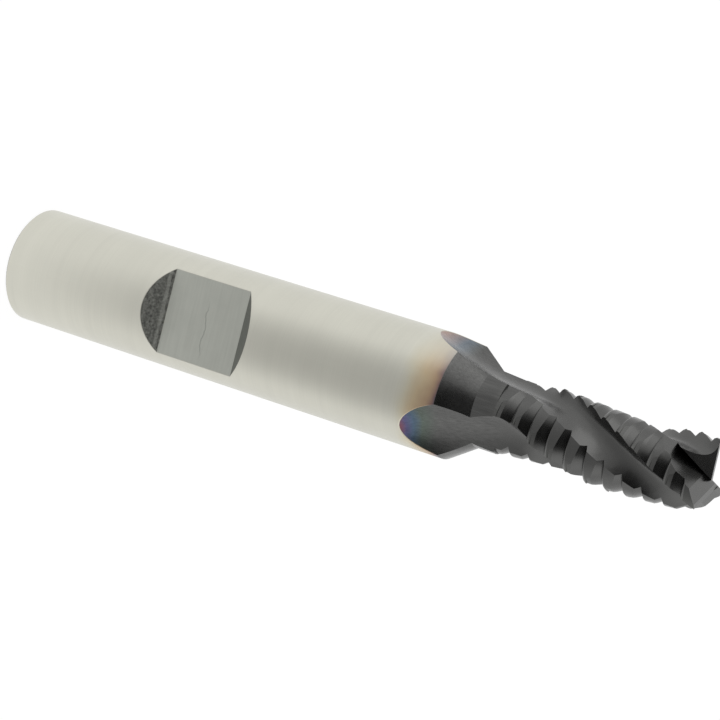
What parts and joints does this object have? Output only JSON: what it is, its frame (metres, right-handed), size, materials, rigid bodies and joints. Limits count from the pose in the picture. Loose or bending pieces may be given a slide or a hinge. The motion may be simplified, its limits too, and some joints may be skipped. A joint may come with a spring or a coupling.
{
  "type": "roughing end mill",
  "caption": "Stepped-shank roughing end mill with helical flutes, chip-breaking serrated lands, ground run-outs and a drive flat on the shank.",
  "frame": {"origin": "centre of the shank's end face, on the tool's axis", "axes": "+Z along the axis from the shank end towards the cutting tip; +X out of the drive flat"},
  "size_m": [0.0096, 0.0096, 0.0619],
  "materials": {
    "tool_steel": "satin ground shank, dark coated cutter"
  },
  "bodies": {
    "root": {"end_mill": "tool_steel"}
  },
  "joints": []
}
